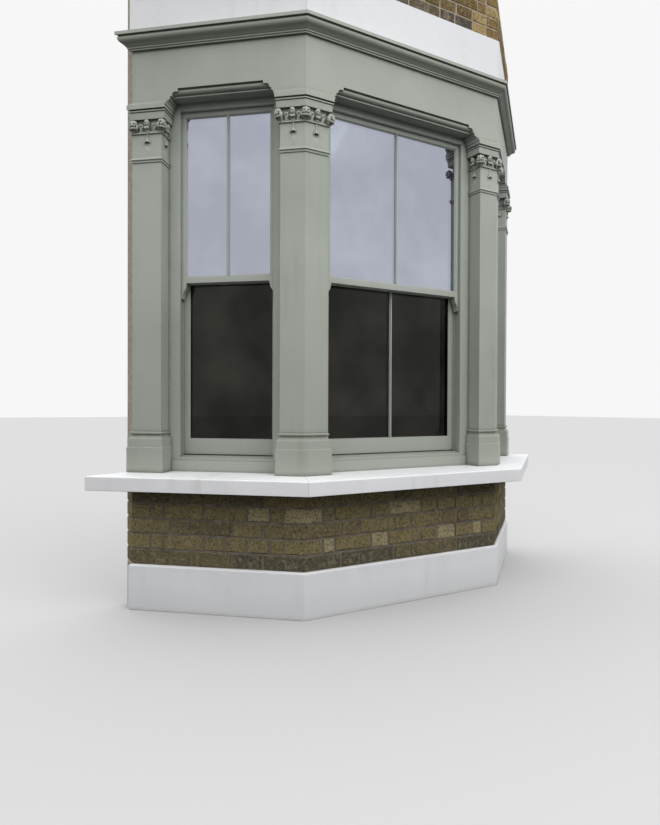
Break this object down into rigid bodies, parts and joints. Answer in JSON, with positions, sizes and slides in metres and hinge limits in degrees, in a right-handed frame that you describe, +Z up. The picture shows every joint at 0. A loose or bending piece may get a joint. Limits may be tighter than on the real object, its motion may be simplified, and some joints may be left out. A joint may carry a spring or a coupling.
{
  "type": "bay window",
  "caption": "Three-sided ground-floor bay with shouldered stone window heads, carved pier caps, sliding sashes, a moulded cornice and brick above and below.",
  "frame": {"origin": "on the ground, at the middle of the bay's outline seen from above", "axes": "+X to the right seen from the street, +Y into the house, +Z up"},
  "size_m": [3.2564, 0.89, 3.597],
  "materials": {
    "brick": "rough yellow stock brick with grey mortar",
    "white_render": "matt white painted render",
    "white_stone": "matt white painted stone",
    "painted_stone": "satin sage green paint",
    "painted_frame": "satin sage green paint",
    "painted_sash": "satin sage green paint",
    "glass": "clear window glass",
    "plaster": "matt plaster",
    "deck_boards": "grey sawn boards"
  },
  "bodies": {
    "root": {"ceiling": "plaster", "deck": "deck_boards", "front_box_frame": "painted_frame", "front_brick_base": "brick", "front_cornice": "painted_stone", "front_frieze": "painted_stone", "front_glass": "glass", "front_lower_sash": "painted_sash", "front_rendered_band": "white_render", "front_stone_sill": "white_stone", "front_upper_brickwork": "brick", "front_upper_sash": "painted_sash", "left_box_frame": "painted_frame", "left_brick_base": "brick", "left_corner_capital": "painted_stone", "left_corner_pier_base": "painted_stone", "left_corner_pier_shaft": "painted_stone", "left_cornice": "painted_stone", "left_frieze": "painted_stone", "left_glass": "glass", "left_lower_sash": "painted_sash", "left_rendered_band": "white_render", "left_stone_sill": "white_stone", "left_upper_brickwork": "brick", "left_upper_sash": "painted_sash", "left_wall_capital": "painted_stone", "left_wall_pier_base": "painted_stone", "left_wall_pier_shaft": "painted_stone", "rendered_plinth": "white_render", "right_box_frame": "painted_frame", "right_brick_base": "brick", "right_corner_capital": "painted_stone", "right_corner_pier_base": "painted_stone", "right_corner_pier_shaft": "painted_stone", "right_cornice": "painted_stone", "right_frieze": "painted_stone", "right_glass": "glass", "right_lower_sash": "painted_sash", "right_rendered_band": "white_render", "right_stone_sill": "white_stone", "right_upper_brickwork": "brick", "right_upper_sash": "painted_sash", "right_wall_capital": "painted_stone", "right_wall_pier_base": "painted_stone", "right_wall_pier_shaft": "painted_stone"}
  },
  "joints": []
}
